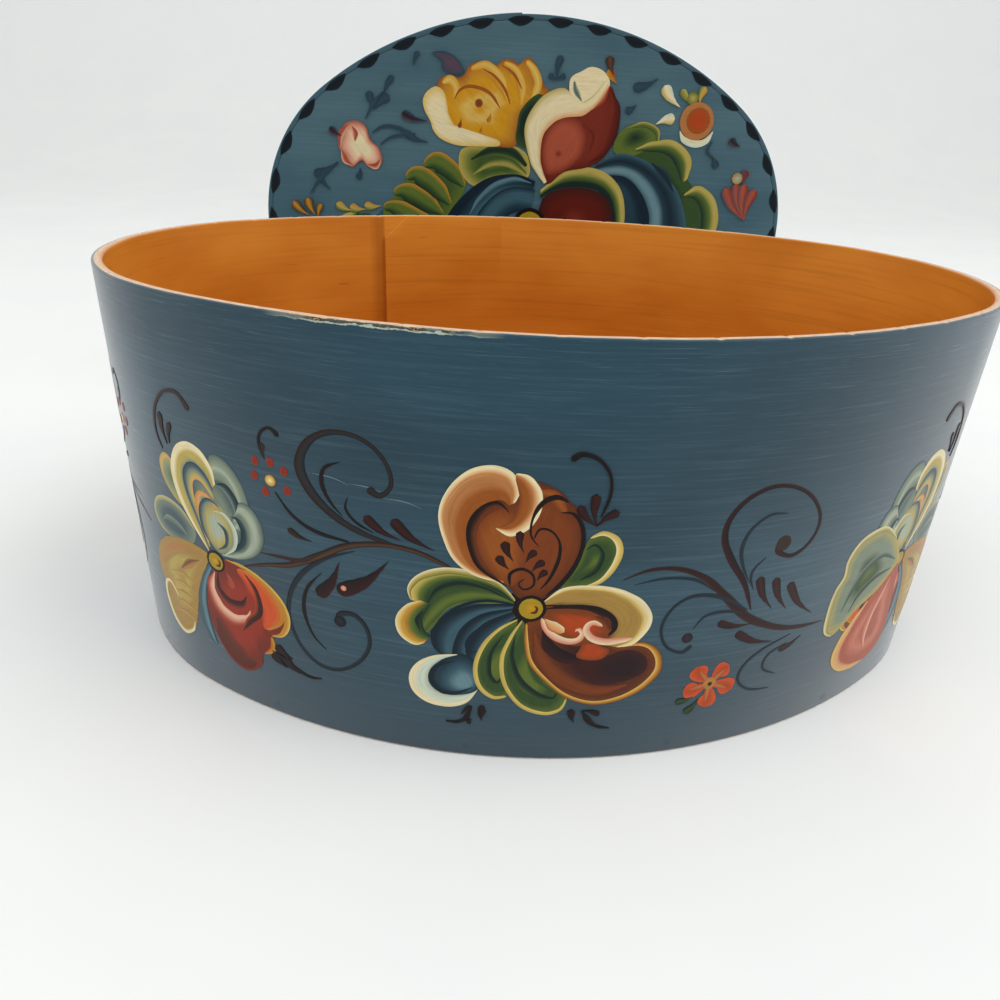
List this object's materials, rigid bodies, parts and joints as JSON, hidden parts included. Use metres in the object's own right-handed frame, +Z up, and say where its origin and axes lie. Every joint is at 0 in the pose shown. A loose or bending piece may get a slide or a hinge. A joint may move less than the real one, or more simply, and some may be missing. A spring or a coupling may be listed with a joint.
{
  "type": "oval bentwood box with lift-off lid",
  "caption": "Oval bentwood box standing open, with its lift-off lid stood on edge behind it; folk-painted outside, amber varnished wood inside.",
  "frame": {"origin": "centre of the box's flat base, on the surface it stands on", "axes": "+Z up out of the open box; +X along the box's length; -Y towards the front; the lid stands behind the box on +Y with its painted top facing -Y"},
  "size_m": [0.2822, 0.3045, 0.1967],
  "materials": {
    "painted_band": "satin oil paint outside, amber varnished wood inside",
    "bare_board": "amber varnished softwood",
    "box_pegs": "whittled wood, painted over on the outside",
    "painted_lid_band": "satin oil paint outside, amber varnished wood inside",
    "painted_lid_board": "satin oil paint on top, amber varnished wood below",
    "lid_pegs": "whittled wood, painted over on the outside"
  },
  "bodies": {
    "box": {"side_band": "painted_band", "bottom_board": "bare_board", "bottom_pegs": "box_pegs"},
    "lid": {"lid_band": "painted_lid_band", "lid_board": "painted_lid_board", "lid_pegs": "lid_pegs"}
  },
  "joints": [
    {"name": "lid_lift", "type": "slide", "parent": "box", "child": "lid", "axis": [0, 0, 1], "range_m": [0, 0.25]}
  ]
}
